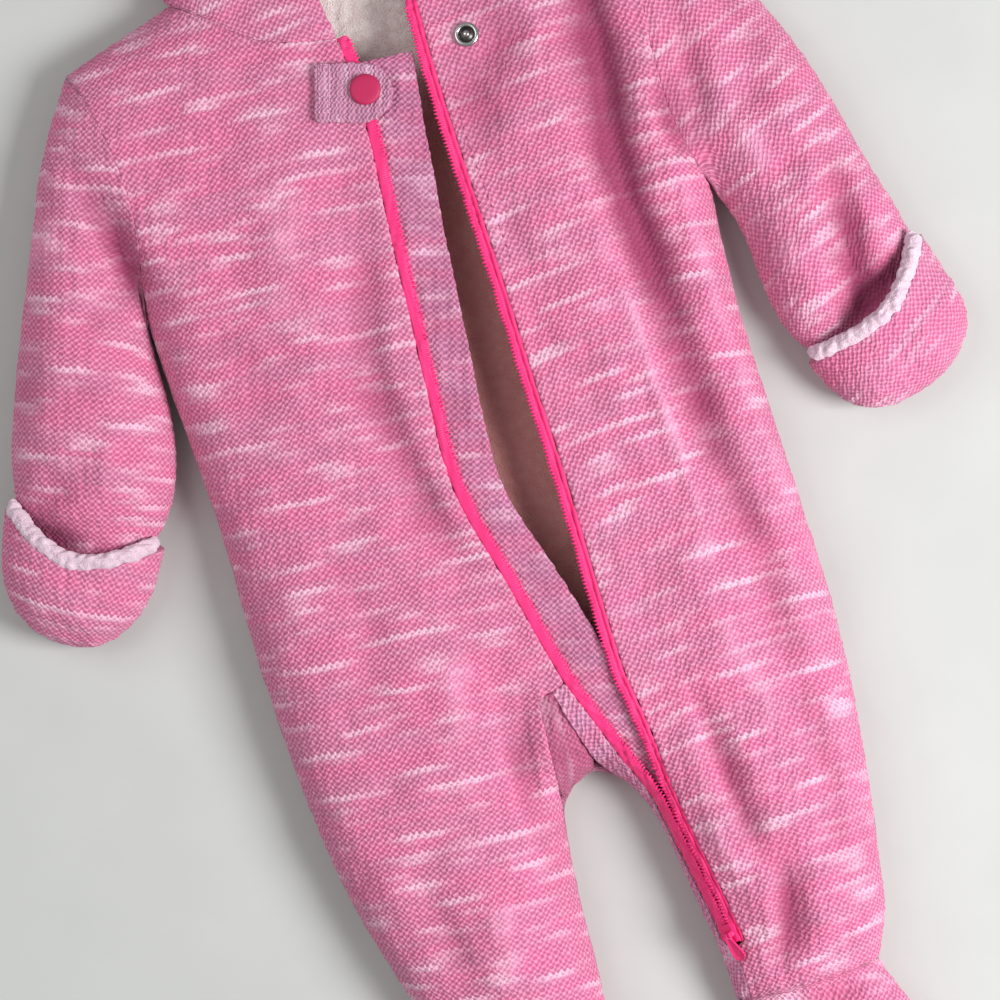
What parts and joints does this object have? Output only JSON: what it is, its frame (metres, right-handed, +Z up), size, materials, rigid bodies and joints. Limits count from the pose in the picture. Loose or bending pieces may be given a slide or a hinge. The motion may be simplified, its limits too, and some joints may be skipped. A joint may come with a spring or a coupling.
{
  "type": "baby snowsuit",
  "caption": "hooded one-piece baby snowsuit with fold-over mittens, feet, long open zip and snap tab, laid flat",
  "frame": {"origin": "centre of the bounding box in plan, on the surface that the garment lies on", "axes": "+X to the wearer's left, +Y to the hood, +Z up from the surface through the front"},
  "size_m": [0.5036, 0.806, 0.042],
  "materials": {
    "knit": "pink slub knit with zig-zag courses, matt",
    "band_knit": "the same knit, paler, with the courses turned",
    "sherpa_edge": "pale pink sherpa pile",
    "sherpa_lining": "beige-grey sherpa pile",
    "zip_tape": "hot pink woven tape",
    "zip_metal": "hot pink paint on die-cast metal",
    "snap_cap": "matt deep pink plastic",
    "snap_stud": "plated steel"
  },
  "bodies": {
    "garment": {"back": "knit", "front_right": "knit", "front_left": "knit", "gusset": "knit", "sleeve_right": "knit", "sleeve_left": "knit", "mitten_right": "knit", "mitten_left": "knit", "foot_right": "knit", "foot_left": "knit", "hood_right": "knit", "hood_left": "knit", "inner_leg_band": "band_knit", "placket": "band_knit", "snap_tab": "band_knit", "mitten_edge_right": "sherpa_edge", "mitten_edge_left": "sherpa_edge", "back_lining": "sherpa_lining", "hood_lining": "sherpa_lining", "zip_tape_right": "zip_tape", "zip_tape_left": "zip_tape", "zip_slider": "zip_metal", "snap_cap": "snap_cap", "snap_stud": "snap_stud"},
    "pull_tab": {"zip_pull": "zip_metal"}
  },
  "joints": [
    {"name": "pull_hinge", "type": "hinge", "parent": "garment", "child": "pull_tab", "pos_m": [0.04307, -0.29508, 0.03195], "axis": [-0.7757, -0.1241, -0.6188], "range_deg": [0, 150]}
  ]
}
